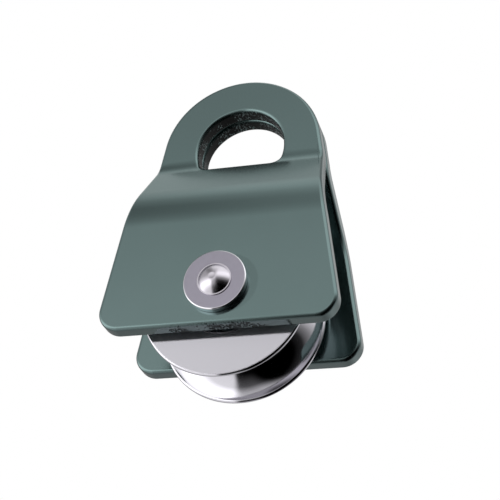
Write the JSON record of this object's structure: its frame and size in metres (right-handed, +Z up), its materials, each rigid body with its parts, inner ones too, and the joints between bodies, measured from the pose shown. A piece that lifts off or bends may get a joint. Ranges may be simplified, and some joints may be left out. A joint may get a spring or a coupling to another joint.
{
  "type": "climbing pulley",
  "caption": "Rope pulley with swinging, joggled side plates that meet in a karabiner eye, a riveted axle and a deep-grooved sheave on sealed ball bearings.",
  "frame": {"origin": "the sheave's centre, on the axle's axis midway between the side plates", "axes": "+Z up to the karabiner eye, +Y along the axle towards the rear plate, +X across the plates"},
  "size_m": [0.0698, 0.0452, 0.1028],
  "materials": {
    "plate": "grey-green anodised, semi-gloss, with darker sheared edges",
    "sheave": "turned, satin side faces and a mirror-polished groove",
    "axle": "polished stainless steel, formed domed heads",
    "washer": "satin stainless steel with a polished edge",
    "bush": "turned steel",
    "bearing_steel": "ground bearing steel",
    "ball_steel": "polished bearing steel",
    "cage": "moulded polyamide",
    "shield": "pressed steel sheet"
  },
  "bodies": {
    "rear_plate": {"rear_side_plate": "plate"},
    "axle": {"axle": "axle", "front_washer": "washer", "rear_washer": "washer", "front_spacer": "bush", "rear_spacer": "bush", "bearing_spacer": "bush", "front_inner_ring": "bearing_steel", "rear_inner_ring": "bearing_steel"},
    "front_plate": {"front_side_plate": "plate"},
    "sheave": {"sheave": "sheave", "front_outer_ring": "bearing_steel", "rear_outer_ring": "bearing_steel", "front_outside_shield": "shield", "front_inside_shield": "shield", "rear_outside_shield": "shield", "rear_inside_shield": "shield"},
    "front_cage": {"front_ball_cage": "cage", "front_balls": "ball_steel"},
    "rear_cage": {"rear_ball_cage": "cage", "rear_balls": "ball_steel"}
  },
  "joints": [
    {"name": "axle_turn", "type": "hinge", "parent": "rear_plate", "child": "axle", "pos_m": [0, 0, 0], "axis": [0, 1, 0], "continuous": true},
    {"name": "front_plate_swing", "type": "hinge", "parent": "axle", "child": "front_plate", "pos_m": [0, 0, 0], "axis": [0, 1, 0], "continuous": true},
    {"name": "sheave_spin", "type": "hinge", "parent": "axle", "child": "sheave", "pos_m": [0, 0, 0], "axis": [0, 1, 0], "continuous": true},
    {"name": "front_cage_orbit", "type": "hinge", "parent": "axle", "child": "front_cage", "pos_m": [0, 0, 0], "axis": [0, 1, 0], "continuous": true},
    {"name": "rear_cage_orbit", "type": "hinge", "parent": "axle", "child": "rear_cage", "pos_m": [0, 0, 0], "axis": [0, 1, 0], "continuous": true}
  ],
  "couplings": [
    {"joint": "front_cage_orbit", "follows": "sheave_spin", "ratio": 0.5972},
    {"joint": "rear_cage_orbit", "follows": "sheave_spin", "ratio": 0.5972}
  ]
}
